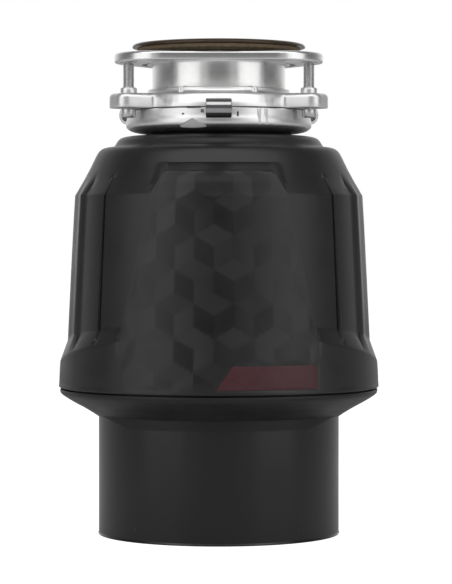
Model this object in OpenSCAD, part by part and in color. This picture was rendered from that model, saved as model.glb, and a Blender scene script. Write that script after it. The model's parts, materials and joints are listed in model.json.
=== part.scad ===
// Kitchen garbage disposal, three-bolt sink mount.
// Frame: origin on the axis at the base, +Z up, front faces -Y. Millimetres.

/* [Motor section] */
// Outer radius of the motor can
can_r = 78.9; // [70:0.1:90]
// Wall of the motor can
can_wall = 1.2; // [0.8:0.1:3]
// Height of the motor can
can_h = 103.9; // [90:0.1:120]
// Radius of the motor shaft
shaft_r = 6.35; // [5:0.05:8]
// Slots in the stator
stator_slots = 24; // [12:1:36]

/* [Outer shell] */
// Largest radius of the outer shell
shell_r = 105.1; // [95:0.1:120]
// Wall of the outer shell
shell_wall = 2.5; // [1.5:0.1:4]
// Height of the seam between shell and collar
seam_z = 96.4; // [90:0.1:105]
// How far the front panel stands out from the side walls
panel_out = 3.6; // [1:0.1:6]

/* [Grinding] */
// Radius of the turntable
turntable_r = 59.3; // [50:0.1:60]
// Inner radius of the shredder ring
shred_ri = 60; // [55:0.1:64]
// Distance of the swivel lugs from the axis
lug_at = 40; // [30:0.5:45]

/* [Outlets] */
// Radius of the discharge bore
port_r = 15; // [13:0.1:16]
// Height of the discharge bore
port_z = 121.5; // [119:0.5:124]
// Half the distance between the discharge bolt holes
port_bolt_x = 31; // [26:0.5:36]
// Outer radius of the dishwasher inlet
inlet_r = 11.1; // [9:0.1:13]
// Height of the dishwasher inlet
inlet_z = 236; // [225:0.5:242]

/* [Sink mount] */
// Outer radius of the sink flange brim
brim_r = 56.75; // [50:0.05:60]
// Outer radius of the sink flange sleeve
sleeve_r = 43.6; // [40:0.1:46]
// Radius of the three-screw circle
bolt_r = 67; // [62:0.5:72]
// Radius of the mounting screws
screw_r = 3.7; // [3:0.05:4.5]
// Outer radius of the lower mounting ring
lring_r = 60; // [56:0.1:64]
// Rise of the ramps over the turn of the lower ring
ramp_rise = 3; // [1:0.5:4]
// Turn of the lower ring from locked to free
ramp_turn = 35; // [20:1:45]

/* [Hidden] */
$fn = 72;
gz = 4.6;

steel = [0.78, 0.78, 0.8]; iron = [0.45, 0.46, 0.48]; black = [0.09, 0.09, 0.1];
zinc = [0.62, 0.63, 0.65]; brass = [0.78, 0.62, 0.3]; copper = [0.72, 0.38, 0.2];

// helpers -----------------------------------------------------------------
module ring(ro, ri, z0, z1) rotate_extrude() translate([ri, z0]) square([ro - ri, z1 - z0]);
module at_polar(r, a) rotate([0, 0, a]) translate([0, -r, 0]) children();
module rev(p) rotate_extrude() polygon(p);
function rot2(p, a) = [p[0] * cos(a) - p[1] * sin(a), p[0] * sin(a) + p[1] * cos(a)];

// sink side ---------------------------------------------------------------
module sink_flange() color(steel) rev([
  [42, 272.8], [sleeve_r, 272.8], [sleeve_r, 280.7], [43, 280.7], [43, 283.9], [sleeve_r, 283.9],
  [sleeve_r, 318.2], [brim_r - 0.4, 318.2], [brim_r, 318.7], [brim_r, 319.4], [56.1, 320.3], [54.4, 320.9],
  [52.2, 321.1], [48.8, 321], [46, 320.4], [44.2, 319.4], [42.9, 317.8], [42.2, 315.4], [42, 312.5]]);

module fiber_gasket() color([0.45, 0.38, 0.25]) ring(55.4, 44, 313.8, 318.2);

// outline of the back-up flange: three straight sides joined by wide round corners
flat_d = 53; corner_r = 33; corner_at = 2 * (flat_d - corner_r);
backup_pts = [for (k = [0:2]) for (n = [-60:5:60]) rot2([corner_r * sin(n), -corner_at - corner_r * cos(n)], 60 + 120 * k)];
module backup_flange() color(zinc) difference() {
  union() {
    translate([0, 0, 307]) linear_extrude(6.6) polygon(backup_pts);
    translate([0, 0, 313]) cylinder(r = 51.4, h = 0.8);
  }
  translate([0, 0, 300]) cylinder(r = 44.1, h = 20);
  // pressed hollow under the flange
  rev([[47, 306], [50.5, 306], [50.5, 311], [47, 311]]);
  for (a = [60, 180, 300]) at_polar(bolt_r, a) translate([0, 0, 306.5]) cylinder(r = 5.2, h = 2);
}

module ramp(a) rotate([0, 0, a]) difference() {
  // the tab of the lower ring rides on the top of this strip
  intersection() {
    translate([0, 0, 266]) rotate_extrude(angle = 52, start = -6) translate([51, 0]) square([4.8, 12]);
    rotate([0, 0, 22]) translate([0, 0, 271.9]) rotate([-atan(ramp_rise / (53.5 * ramp_turn * PI / 180)), 0, 0])
      translate([45, -40, -1.5]) cube([14, 80, 1.5]);
  }
}

module upper_mounting_ring() color(steel) difference() {
  union() {
    rev([[54.8, 277.5], [59.2, 277.5], [59.4, 278], [59.2, 280], [58.6, 282.4], [58, 284.4], [57.6, 286],
      [56.6, 287], [54.8, 287]]);
    ring(57.6, 44.3, 284, 287);
    ring(46.5, 44.3, 286.5, 291);
    ring(51.2, 49.2, 270, 284.5);
    for (a = [60, 180, 300]) {
      rotate([0, 0, a]) translate([0, 0, 277.5]) {
        for (x = [-2.8, 2.8]) translate([x, -70.7, 0]) cylinder(r = 7.2, h = 9.5);
        linear_extrude(9.5) polygon([[-2.8, -77.9], [2.8, -77.9], [9.98, -70.7], [13.9, -56.4],
          [13.5, -50.6], [-13.5, -50.6], [-13.9, -56.4], [-9.98, -70.7]]);
      }
      at_polar(bolt_r, a) translate([0, 0, 286.5]) cylinder(r = 5.3, h = 4.2);
    }
    for (a = [40, 160, 280]) ramp(a);
    for (x = [-24.4, 23]) translate([x, -sqrt(46.4 * 46.4 - x * x), 286.5]) cylinder(r = 2, h = 4.8);
  }
  for (a = [60, 180, 300]) at_polar(bolt_r, a) translate([0, 0, 270]) cylinder(r = screw_r + 0.08, h = 30);
  // hollow underside of the ears
  for (a = [60, 180, 300]) rotate([0, 0, a]) translate([-7.5, -58.5, 276]) cube([15, 3.4, 8]);
}

module snap_ring() color(steel) difference() {
  ring(47.2, 43.05, 281, 283.7);
  translate([-3, 30, 275]) cube([6, 30, 15]);
}

module mounting_screw() color(zinc) difference() {
  union() {
    translate([0, 0, 271.5]) cylinder(r = 4.6, h = 5.5);
    translate([0, 0, 276.5]) cylinder(r = screw_r, h = 29.1);
    translate([0, 0, 305.6]) cylinder(r1 = screw_r, r2 = 2.6, h = 1);
  }
  // thread
  for (i = [0:12]) translate([0, 0, 291.2 + i * 1.1]) rotate_extrude()
    polygon([[screw_r - 0.45, 0.55], [screw_r + 0.5, 0.05], [screw_r + 0.5, 1.05]]);
  translate([-6, -0.8, 271]) cube([12, 1.6, 2.3]);
}
module mounting_screw_l() at_polar(bolt_r, -60) mounting_screw();
module mounting_screw_r() at_polar(bolt_r, 60) mounting_screw();
module mounting_screw_b() at_polar(bolt_r, 180) mounting_screw();

// lower ring --------------------------------------------------------------
module lower_mounting_ring() color(steel) difference() {
  union() {
    // band with a bead and a rolled underside
    rev([[48.4, 262.4], [53.4, 262.4], [55.6, 262.8], [57.6, 263.9], [59.4, 265.6], [60.5, 267.8],
      [60.9, 269.3], [60.6, 270.6], [lring_r, 271.8], [lring_r, 276.4], [59.4, 277], [58.3, 277],
      [58.3, 268.6], [57.6, 266.6], [56.4, 264.9], [55, 263.9], [53.4, 263.3], [48.4, 263.3]]);
    // three tabs on the ramps of the upper ring
    for (a = [40, 160, 280]) rotate([0, 0, a]) translate([0, 0, 274.2])
      rotate_extrude(angle = 11, start = -0.5) translate([52, 0]) square([6.8, 1.6]);
    // wrench tubes
    for (a = [0, 120, 240]) rotate([0, 0, a]) {
      translate([0, -66.1, 276]) rotate([0, 90, 0]) cylinder(r = 6.2, h = 16.4, center = true);
      translate([-8.2, -66, 269.9]) cube([16.4, 7.4, 6]);
    }
    // rolled ends of the band
    for (x = [25.5, 30]) rotate([0, 0, asin(x / 60)]) translate([0, -60, 266.5]) cylinder(r = 1.1, h = 10);
  }
  for (a = [0, 120, 240]) rotate([0, 0, a]) translate([0, -66.1, 276]) rotate([0, 90, 0]) cylinder(r = 4.1, h = 20, center = true);
  // V notch in the rolled edge
  for (a = [-15.5, 104.5, 224.5]) rotate([0, 0, a]) translate([0, -59.1, 264.5]) rotate([90, 0, 0])
    linear_extrude(20) polygon([[-8.4, -3], [8.4, -3], [0.6, 5.6], [-0.6, 5.6]]);
}

module mounting_gasket() color(black) rev([[42.2, 268], [48, 268], [48, 270], [46.4, 272.4], [42.2, 272.4]]);

module splash_baffle() color(black) difference() {
  union() {
    ring(41.4, 39.4, 258.4, 284);
    ring(41.4, 37.6, 282.2, 285);
    translate([0, 0, 275]) cylinder(r = 40, h = 2.2);
    ring(11.5, 9, 275, 278.4);
  }
  translate([0, 0, 270]) cylinder(r = 9.1, h = 12);
  for (a = [0:45:315]) rotate([0, 0, a + 22.5]) translate([9, -0.6, 270]) cube([27, 1.2, 12]);
  for (a = [0:45:315]) rotate([0, 0, a + 22.5]) translate([36, 0, 270]) cylinder(r = 1.5, h = 12);
}

module neck_boot() color(black) difference() {
  ring(45.6, 43.7, 257.6, 263.3);
  for (z = [259.2, 261.2]) ring(46, 45.2, z, z + 0.9);
}

// hopper ------------------------------------------------------------------
module hopper() color(zinc) difference() {
  union() {
    rev([[67.2, 141.6], [89.4, 141.6], [89.4, 145], [70, 145], [70, 166.6], [66, 170.6], [66, 206],
      [63.5, 220], [58, 234], [50, 247], [43.6, 254.5], [43.6, 263.7], [53.6, 263.7], [55.4, 265.2], [55.4, 268],
      [41.8, 268], [41.8, 258], [40.4, 258], [40.4, 254.6], [47.6, 246], [55.6, 232.8],
      [61, 219], [63.4, 205], [63.4, 167.6], [67.2, 165]]);
    // boss for the dishwasher inlet
    translate([0, 0, inlet_z]) rotate([-90, 0, 0]) translate([0, 0, 50]) cylinder(r = 15, h = 14);
  }
  translate([0, 0, inlet_z]) rotate([-90, 0, 0]) translate([0, 0, 40]) cylinder(r = 9.2, h = 50);
  translate([0, 0, inlet_z]) rotate([-90, 0, 0]) translate([0, 0, 57]) cylinder(r = 13, h = 20);
  for (a = [30:60:330]) at_polar(84.8, a) translate([0, 0, 130]) cylinder(r = 2.7, h = 20);
  // keeps the boss out of the throat
  rev([[0, 200], [62, 200], [60.6, 219], [55.2, 232.8], [47.2, 246], [40.2, 254.6], [0, 256]]);
}
module hopper_gasket() color(black) ring(75.8, 68, 136 + gz, 137 + gz);
module hopper_bolts() color(zinc) for (a = [30:60:330]) at_polar(84.8, a) translate([0, 0, gz]) difference() {
  union() {
    translate([0, 0, 128.4]) cylinder(r = 2.5, h = 12.4);
    translate([0, 0, 140.5]) cylinder(r = 4.6, h = 3.4);
    translate([0, 0, 128.6]) cylinder(r = 4.3, h = 3.3, $fn = 6);
  }
  translate([0, 0, 142.4]) cylinder(r = 2.4, h = 3, $fn = 6);
}
module dishwasher_inlet() color([0.13, 0.13, 0.14]) difference() {
  translate([0, 0, inlet_z]) rotate([-90, 0, 0]) union() {
    translate([0, 0, 57.1]) cylinder(r = 12.9, h = 7.2);
    translate([0, 0, 57.1]) cylinder(r = inlet_r, h = 46.6);
  }
  translate([0, 0, inlet_z]) rotate([-90, 0, 0]) cylinder(r = 9.2, h = 120);
}
module inlet_plug() color([0.2, 0.2, 0.21]) translate([0, 0, inlet_z]) rotate([-90, 0, 0])
  translate([0, 0, 60]) difference() {
    cylinder(r = 9.15, h = 4);
    translate([0, 0, 1.6]) cylinder(r = 7.6, h = 4);
  }

// shell -------------------------------------------------------------------
// side wall and shoulder of the shell, outside
wall_out = [[99.2, 110], [99.2, 127], [98.3, 146], [97.3, 166], [96.3, 186], [95.3, 205], [94.3, 221.6],
  [88.8, 231], [84.5, 239], [79.9, 248.6], [78.3, 250.9], [76.2, 252.5], [73.5, 253.3],
  [68.6, 253.5], [67.6, 254.9], [66.2, 257.4], [64.6, 259], [62.2, 260], [59.4, 260.3], [46.4, 261.2]];
wall_in = [[46.4, 258.8], [59, 257.9], [62, 257], [64, 255.2], [65.2, 252.6], [66.4, 251.1], [73.4, 250.8],
  [76, 249.2], [78, 246.6], [82, 238.4], [86.4, 230], [91.7, 220.8], [92.8, 205], [95.8, 146],
  [96.6, 127], [96.6, 110]];
skirt_out = [[shell_r - 0.4, seam_z], [shell_r, seam_z + 0.6], [shell_r, 98.4], [104.85, 99], [104.55, 107], [103.95, 116], [103.8, 140]];
module discharge_window() translate([-47, 80, 97]) cube([94, 40, 51]);

module trim_shell() color(black) difference() {
  union() {
    rev(concat(wall_out, wall_in));
    // skirt, its upper edge slopes up toward the front panel
    difference() {
      intersection() {
        rev(concat(skirt_out, [[95.5, 140], [96.6, 127], [102.2, 115], [102.6, seam_z]]));
        union() {
          // front half: tilted cone gives the sloped ledge
          intersection() {
            translate([0, 0, 118]) rotate([-10.6, 0, 0]) translate([0, 0, -60]) cylinder(r1 = 134.2, r2 = 83.5, h = 110);
            translate([-120, -120, 60]) cube([240, 120.01, 120]);
          }
          intersection() {
            translate([0, 0, 118]) translate([0, 0, -60]) cylinder(r1 = 134.2, r2 = 83.5, h = 110);
            translate([-120, 0, 60]) cube([240, 120, 120]);
          }
        }
      }
    }
    // front panel
    intersection() {
      rev([[shell_r - 0.4, seam_z], [shell_r, seam_z + 0.6], [shell_r, 98.4], [104.85, 99], [104.55, 107], [103.95, 116],
        [103.1, 130], [101.4, 170], [99.2, 212], [98, 221.4], [93.6, 229.2], [90.2, 235.2], [88.2, 237.6],
        [84.9, 240.2], [83, 240.6], [83, 239], [90, 222], [94, 200], [95, 146], [96, 127], [102.2, 115], [102.6, seam_z]]);
      rotate([90, 0, 0]) linear_extrude(130) polygon([[-63.4, 90], [63.4, 90], [63.4, 129.4],
        [43.8, 221.6], [34.6, 236], [33.4, 242], [-33.4, 242], [-34.6, 236], [-43.8, 221.6], [-63.4, 129.4]]);
    }
  }
  // narrow grooves down the side walls
  for (s = [-1, 1]) {
    for (g = [[50, 0.9], [64.6, 0.9]]) rotate([0, 0, s * g[0]]) translate([0, -99.6, 136])
      rotate([3.1, 0, 0]) translate([-0.5, -2, 0]) cube([1, 2.9 + g[1] - 0.9, 86]);
  }
  discharge_window();
  translate([0, 60, inlet_z]) rotate([-90, 0, 0]) cylinder(r = 18, h = 60);
  // shallow seat for the badge
  badge_solid(0.05, 102.4);
}

module badge_solid(g, r0) intersection() {
  ring(107, r0, 98, 126);
  rotate([90, 0, 0]) linear_extrude(130) polygon([[-1.9 - g * 1.4, 99.5 - g], [62.3 + g, 99.5 - g],
    [61.6 + g, 114.6 + g], [8.6 - g, 114.6 + g]]);
}
module badge_plate() color([0.24, 0.11, 0.12]) intersection() {
  badge_solid(-0.1, 102.6);
  rev([[102.5, 99], [104.9, 99.4], [105, 100.4], [104.75, 107], [104.3, 113.8], [104.1, 114.6], [102.5, 115]]);
}

module lower_collar() color(black) union() {
  difference() {
    rev([[79.2, 78.4], [80, 77.9], [82.5, 79.6], [85.8, 81.6], [89.1, 83.6], [92.7, 85.5], [96.3, 87.5],
      [99.6, 89.5], [102.5, 91.4], [103.8, 92.6], [104.3, 94], [104.1, 95.2], [99.5, 95.2], [99.5, 102],
      [97.5, 102], [97.5, 92], [81.4, 82.2], [81.4, 96], [79.2, 96]]);
    discharge_window();
  }
  // deeper band round the front of the can
  intersection() {
    ring(81.5, 79.2, 72.5, 80.4);
    rotate([90, 0, 0]) linear_extrude(100) polygon([[-57.4, 72], [57.4, 72], [60, 73.6], [74.6, 78.8], [74.6, 81],
      [-74.6, 81], [-74.6, 78.8], [-60, 73.6]]);
  }
}

module sound_insulation() color([0.3, 0.3, 0.31]) difference() {
  rev([[72, 150], [88, 150], [88, 212], [82, 228], [74, 243], [64, 249.5], [54, 249.5], [61, 236], [68, 220], [72, 206]]);
  translate([0, 0, inlet_z]) rotate([-90, 0, 0]) cylinder(r = 18, h = 100);
}

// grinding chamber --------------------------------------------------------
module grind_housing() color([0.6, 0.61, 0.63]) difference() {
  union() {
    rev([[14.2, 104], [80, 104], [80, 132 + gz], [89.4, 132 + gz], [89.4, 136 + gz], [61, 136 + gz], [61, 133 + gz],
      [76, 133 + gz], [77.6, 130 + gz], [77.6, 106.3], [24, 106.3], [22, 112], [14.2, 112]]);
    translate([0, 0, port_z]) rotate([-90, 0, 0]) translate([0, 0, 76]) cylinder(r = 19.6, h = 23);
    // port flange
    translate([0, 103.4, port_z]) rotate([90, 0, 0]) linear_extrude(5) union() {
      circle(r = 23);
      for (x = [-port_bolt_x, port_bolt_x]) translate([x, 0]) circle(r = 9);
      polygon([[-34, 8.1], [-9.4, 20.7], [9.4, 20.7], [34, 8.1], [34, -8.1], [9.4, -20.7], [-9.4, -20.7], [-34, -8.1]]);
    }
    for (x = [-port_bolt_x, port_bolt_x]) translate([x, 99, port_z]) rotate([90, 0, 0]) cylinder(r = 6, h = 10);
  }
  translate([0, 0, port_z]) rotate([-90, 0, 0]) translate([0, 0, 70]) cylinder(r = port_r, h = 60);
  translate([0, 103.5, port_z]) rotate([90, 0, 0]) cylinder(r = 19.4, h = 2.6);
  for (x = [-port_bolt_x, port_bolt_x]) translate([x, 110, port_z]) rotate([90, 0, 0]) cylinder(r = 2.6, h = 19);
  for (a = [30:60:330]) at_polar(84.8, a) translate([0, 0, 131]) cylinder(r = 2.7, h = 20);
  for (a = [0:90:270]) rotate([0, 0, a + 45]) translate([70, 0, 100]) cylinder(r = 5, h = 5.6);
  translate([-30, 70, 95]) cube([60, 9.8, 9]);
}
module discharge_gasket() color(black) difference() {
  translate([0, 103.2, port_z]) rotate([90, 0, 0]) cylinder(r = 19.2, h = 2.2);
  translate([0, 110, port_z]) rotate([90, 0, 0]) cylinder(r = port_r + 0.6, h = 20);
}
module shredder_ring() color(steel) translate([0, 0, gz]) difference() {
  union() {
    ring(67, 63, 136.1, 160.2);
    ring(67, shred_ri, 136.1, 158);
  }
  for (a = [0:15:345]) rotate([0, 0, a]) translate([shred_ri - 2, -2, 146]) cube([5.2, 4, 20]);
  for (a = [0:15:345]) rotate([0, 0, a + 7.5]) translate([shred_ri - 2, -1.2, 136]) cube([4.6, 2.4, 7.4]);
}
module turntable() color(steel) translate([0, 0, gz]) difference() {
  union() {
    translate([0, 0, 140]) cylinder(r = turntable_r, h = 2.6);
    translate([0, 0, 128]) cylinder(r = 13, h = 12.4);
    ring(turntable_r, turntable_r - 2.2, 136.6, 140.4);
    translate([0, 0, 142.4]) cylinder(r = 11, h = 1.8);
  }
  translate([0, 0, 120]) cylinder(r = shaft_r + 0.02, h = 20);
  translate([0, 0, 130]) cylinder(r = 5.02, h = 20);
  for (s = [0, 180]) rotate([0, 0, s]) translate([lug_at, 0, 130]) cylinder(r = 3.02, h = 20);
  for (a = [60, 120, 240, 300]) rotate([0, 0, a]) translate([46, 0, 130]) cylinder(r = 4, h = 20);
  for (a = [90, 270]) rotate([0, 0, a]) translate([28, 0, 130]) cylinder(r = 4, h = 20);
}
module lug() difference() {
  union() {
    translate([0, 0, 143]) cylinder(r = 8, h = 4);
    translate([0, 0, 143]) linear_extrude(4) polygon([[-7.6, -2], [7.6, -2], [11, 9], [12.4, 14.4], [7, 17], [0, 15.6], [-6.5, 10]]);
    translate([3.4, 7, 143]) cube([8, 7.2, 10.5]);
  }
  translate([0, 0, 140]) cylinder(r = 3.08, h = 20);
}
module swivel_lug_a() color(steel) translate([lug_at, 0, gz]) lug();
module swivel_lug_b() color(steel) rotate([0, 0, 180]) translate([lug_at, 0, gz]) lug();
module lug_pins() color(zinc) for (s = [0, 180]) rotate([0, 0, s]) translate([lug_at, 0, gz]) {
  translate([0, 0, 137.2]) cylinder(r = 3, h = 10.3);
  translate([0, 0, 147.4]) cylinder(r = 5.6, h = 1.8);
  translate([0, 0, 137.2]) cylinder(r = 5, h = 2.7);
}
module turntable_nut() color(zinc) translate([0, 0, gz]) difference() {
  union() {
    translate([0, 0, 144.3]) cylinder(r = 9.2, h = 5.6, $fn = 6);
    translate([0, 0, 149.8]) cylinder(r = 6.4, h = 2);
  }
  translate([0, 0, 140]) cylinder(r = 5.02, h = 10);
}

// motor -------------------------------------------------------------------
module upper_end_bell() color([0.66, 0.67, 0.69]) difference() {
  union() {
    rev([[6.9, 84], [16, 84], [17, 97.6], [77.4, 97.6], [77.4, 103.9], [14.05, 103.9], [14.05, 98.2], [12.05, 98.2], [12.05, 85.4], [6.9, 85.4]]);
    for (a = [0:30:330]) rotate([0, 0, a + 15]) translate([15, -1.5, 92]) cube([24, 3, 6]);
  }
  for (a = [0:90:270]) rotate([0, 0, a + 45]) translate([70, 0, 90]) cylinder(r = 2.3, h = 20);
}
module shaft_seal() color(black) ring(14, shaft_r + 0.06, 98.4, 105.5);
module upper_bearing() color(brass) ring(12, shaft_r + 0.05, 85.5, 98.1);
module lower_bearing() color(brass) ring(11, shaft_r + 0.05, 23.1, 32.6);
module motor_shaft() color(steel) union() {
  translate([0, 0, 23.4]) cylinder(r = shaft_r, h = 116.4 + gz);
  translate([0, 0, 139 + gz]) cylinder(r = 5, h = 10);
}
module rotor_core() color(iron) difference() {
  translate([0, 0, 44]) cylinder(r = 37.4, h = 34);
  translate([0, 0, 40]) cylinder(r = shaft_r + 0.02, h = 50);
  for (a = [0:20:340]) rotate([0, 0, a]) translate([32.6, 0, 40]) cylinder(r = 2.2, h = 50, $fn = 24);
}
module rotor_cage() color([0.72, 0.73, 0.75]) union() {
  ring(36.6, 24, 40, 43.98);
  ring(36.6, 24, 78.02, 82);
  for (a = [0:20:340]) rotate([0, 0, a]) translate([32.6, 0, 43.5]) cylinder(r = 2.17, h = 35, $fn = 24);
  for (a = [0:40:320]) rotate([0, 0, a]) translate([25, -1, 36.4]) cube([11, 2, 4]);
}
module switch_actuator() color([0.85, 0.83, 0.75]) difference() {
  union() { ring(13, shaft_r + 0.02, 35.4, 39.6); ring(18, 12, 38.2, 39.6); }
  for (a = [0, 180]) rotate([0, 0, a]) translate([14, -3, 36]) cube([6, 6, 6]);
}
module stator_core() color(iron) difference() {
  translate([0, 0, 42]) cylinder(r = 75.8, h = 38);
  translate([0, 0, 40]) cylinder(r = 37.9, h = 50);
  for (i = [0:stator_slots - 1]) rotate([0, 0, i * 360 / stator_slots]) {
    translate([41, -2.7, 40]) cube([18, 5.4, 50]);
    translate([37, -1, 40]) cube([6, 2, 50]);
  }
  for (a = [0:90:270]) rotate([0, 0, a + 45]) translate([70, 0, 30]) cylinder(r = 2.6, h = 60);
  for (a = [0:90:270]) rotate([0, 0, a]) translate([71, -14, 40]) cube([10, 28, 50]);
}
module stator_windings() color(copper) union() {
  rev([[42.5, 80.6], [59, 80.6], [61.5, 84], [61.5, 90], [58, 94], [46, 94], [42, 90], [42, 83]]);
  rev([[42.5, 41.4], [59, 41.4], [61.5, 38], [61.5, 32], [58, 28.4], [46, 28.4], [42, 32], [42, 39]]);
  for (i = [0:stator_slots - 1]) rotate([0, 0, i * 360 / stator_slots]) translate([43.4, -2.3, 41]) cube([14.6, 4.6, 40]);
}
module lower_end_bell() color([0.66, 0.67, 0.69]) difference() {
  union() {
    rev([[0, 20], [77.4, 20], [77.4, 26], [75, 26], [75, 23], [14, 23], [14, 32.8], [11.05, 32.8], [11.05, 23], [0, 23]]);
    for (a = [30, 150, 270]) rotate([0, 0, a]) translate([66, 0, 5.6]) cylinder(r = 5, h = 15);
  }
  for (a = [0:90:270]) rotate([0, 0, a + 45]) translate([70, 0, 10]) cylinder(r = 2.4, h = 30);
  for (a = [30, 150, 270]) rotate([0, 0, a]) translate([66, 0, 0]) cylinder(r = 1.9, h = 16);
  for (a = [0:60:300]) rotate([0, 0, a]) translate([44, -3, 10]) cube([16, 6, 20]);
}
module through_bolts() color(zinc) for (a = [0:90:270]) rotate([0, 0, a + 45]) translate([70, 0, 0]) {
  translate([0, 0, 20]) cylinder(r = 2.2, h = 85.2);
  translate([0, 0, 16.4]) cylinder(r = 4.6, h = 3.5, $fn = 6);
  translate([0, 0, 19.8]) cylinder(r = 2.2, h = 1);
  translate([0, 0, 104]) cylinder(r = 4.4, h = 1.4, $fn = 6);
}
module motor_can() color(black) difference() {
  rev([[76.2, 0], [78.9, 0], [79.3, 0.7], [can_r, 1.6], [can_r, can_h], [can_r - can_wall, can_h],
    [can_r - can_wall, 1.6], [76.2, 1.2]]);
  // two pressed dimples and a seam notch at the front
  for (a = [-42, 39.6]) rotate([0, 0, a]) translate([0, -can_r - 1.4, 9.4]) sphere(r = 1.9);
  translate([-0.4, -can_r - 0.4, -1]) cube([0.8, 0.8, 6]);
}
module cover_screw_at() for (a = [30, 150, 270]) rotate([0, 0, a]) translate([66, 0, 0]) children();
module bottom_cover() color([0.5, 0.51, 0.53]) difference() {
  union() {
    translate([0, 0, 3]) cylinder(r = 77.3, h = 1.4);
    ring(77.3, 75.6, 3, 7);
  }
  translate([-34, -14, 0]) cylinder(r = 5.35, h = 10);
  translate([38, 4, 0]) cylinder(r = 12.2, h = 10);
  translate([12, -34, 0]) cylinder(r = 2, h = 10);
  cover_screw_at() cylinder(r = 2, h = 10);
  for (i = [-3:3]) translate([-26 + i * 7, 32, 0]) cube([3, 18, 10]);
}
module cover_screws() color(zinc) cover_screw_at() difference() {
  union() {
    translate([0, 0, 0.9]) cylinder(r1 = 3.2, r2 = 4.2, h = 2.05);
    translate([0, 0, 2.5]) cylinder(r = 1.85, h = 12);
  }
  translate([-4, -0.5, 0]) cube([8, 1, 1.8]);
  translate([-0.5, -4, 0]) cube([1, 8, 1.8]);
}
module ground_screw() color([0.15, 0.5, 0.2]) translate([12, -34, 0]) difference() {
  union() {
    translate([0, 0, 0.6]) cylinder(r = 4.6, h = 2.35, $fn = 6);
    translate([0, 0, 2.5]) cylinder(r = 1.95, h = 8);
  }
  translate([-5, -0.5, 0]) cube([10, 1, 1.5]);
}
module cable_bush() color([0.16, 0.16, 0.17]) translate([38, 4, 0]) rev([[11.1, 1.6], [14.2, 1.6], [14.2, 2.95],
  [12.15, 2.95], [12.15, 4.5], [13.6, 4.5], [13.2, 7.6], [11.1, 7.6]]);
module overload_protector() color([0.12, 0.12, 0.13]) difference() {
  translate([-45, -25, 13.6]) cube([22, 22, 6.2]);
  translate([-34, -14, 12]) cylinder(r = 2.7, h = 5);
}
module start_switch() color([0.75, 0.72, 0.6]) union() {
  translate([15, -7, 23.1]) cube([19, 14, 9.4]);
  translate([20, -2, 32]) cube([8, 4, 2.4]);
}
module reset_button() color([0.7, 0.08, 0.07]) translate([-34, -14, 0]) union() {
  translate([0, 0, 1.2]) cylinder(r = 5, h = 5);
  translate([0, 0, 4.7]) cylinder(r = 6.4, h = 1.7);
  translate([0, 0, 6]) cylinder(r = 2.3, h = 5.4);
}
module reset_spring() color(steel) translate([-34, -14, 0]) {
  ring(4.3, 3.3, 6.45, 7.05);
  ring(4.3, 3.3, 12.9, 13.5);
  translate([0, 0, 6.8]) linear_extrude(height = 6.3, twist = -1440, slices = 48, $fn = 6) translate([3.8, 0]) circle(r = 0.42, $fn = 6);
}

sink_flange();
fiber_gasket();
backup_flange();
upper_mounting_ring();
snap_ring();
mounting_screw_l();
mounting_screw_r();
mounting_screw_b();
lower_mounting_ring();
mounting_gasket();
splash_baffle();
neck_boot();
hopper();
hopper_gasket();
hopper_bolts();
dishwasher_inlet();
inlet_plug();
trim_shell();
badge_plate();
lower_collar();
sound_insulation();
grind_housing();
discharge_gasket();
shredder_ring();
turntable();
swivel_lug_a();
swivel_lug_b();
lug_pins();
turntable_nut();
upper_end_bell();
shaft_seal();
upper_bearing();
motor_shaft();
rotor_core();
rotor_cage();
switch_actuator();
stator_core();
stator_windings();
lower_end_bell();
lower_bearing();
through_bolts();
motor_can();
bottom_cover();
cover_screws();
ground_screw();
cable_bush();
overload_protector();
start_switch();
reset_button();
reset_spring();
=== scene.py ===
import bpy, bmesh, json, math, random
from mathutils import Vector, Matrix, noise


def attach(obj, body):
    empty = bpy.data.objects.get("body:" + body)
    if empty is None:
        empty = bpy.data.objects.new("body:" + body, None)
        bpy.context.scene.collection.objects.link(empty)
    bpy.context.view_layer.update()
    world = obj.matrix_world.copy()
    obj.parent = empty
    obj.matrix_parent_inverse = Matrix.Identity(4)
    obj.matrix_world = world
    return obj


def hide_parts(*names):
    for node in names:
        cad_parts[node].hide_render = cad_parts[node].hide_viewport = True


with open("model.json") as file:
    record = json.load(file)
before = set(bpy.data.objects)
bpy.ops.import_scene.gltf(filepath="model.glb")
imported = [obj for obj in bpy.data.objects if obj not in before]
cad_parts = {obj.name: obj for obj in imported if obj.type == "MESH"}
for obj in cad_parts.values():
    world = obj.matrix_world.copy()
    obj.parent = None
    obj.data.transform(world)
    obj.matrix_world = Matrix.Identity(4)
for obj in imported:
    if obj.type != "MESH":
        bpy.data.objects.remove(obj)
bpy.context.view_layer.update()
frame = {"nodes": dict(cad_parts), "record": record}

NODES = frame["nodes"]
MM = 0.001
D = math.radians


# ---------------------------------------------------------------- helpers
def lerp(a, b, t):
    return a + (b - a) * t


def smooth(t):
    t = max(0.0, min(1.0, t))
    return t * t * (3 - 2 * t)


def table(pts, x):
    if x <= pts[0][0]:
        return pts[0][1]
    for (x0, y0), (x1, y1) in zip(pts, pts[1:]):
        if x <= x1:
            return lerp(y0, y1, (x - x0) / (x1 - x0))
    return pts[-1][1]


def new_obj(name, verts, faces, mat=None, body=None, smooth_angle=None):
    me = bpy.data.meshes.new(name)
    me.from_pydata([tuple(c * MM for c in v) for v in verts], [], faces)
    me.validate()
    me.update()
    o = bpy.data.objects.new(name, me)
    bpy.context.scene.collection.objects.link(o)
    if mat:
        me.materials.append(mat)
    if smooth_angle is not None:
        me.shade_smooth()
        me.set_sharp_from_angle(angle=D(smooth_angle))
    if body:
        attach(o, body)
    return o


def recalc(o):
    bm = bmesh.new()
    bm.from_mesh(o.data)
    bmesh.ops.recalc_face_normals(bm, faces=bm.faces)
    bm.to_mesh(o.data)
    bm.free()


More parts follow.
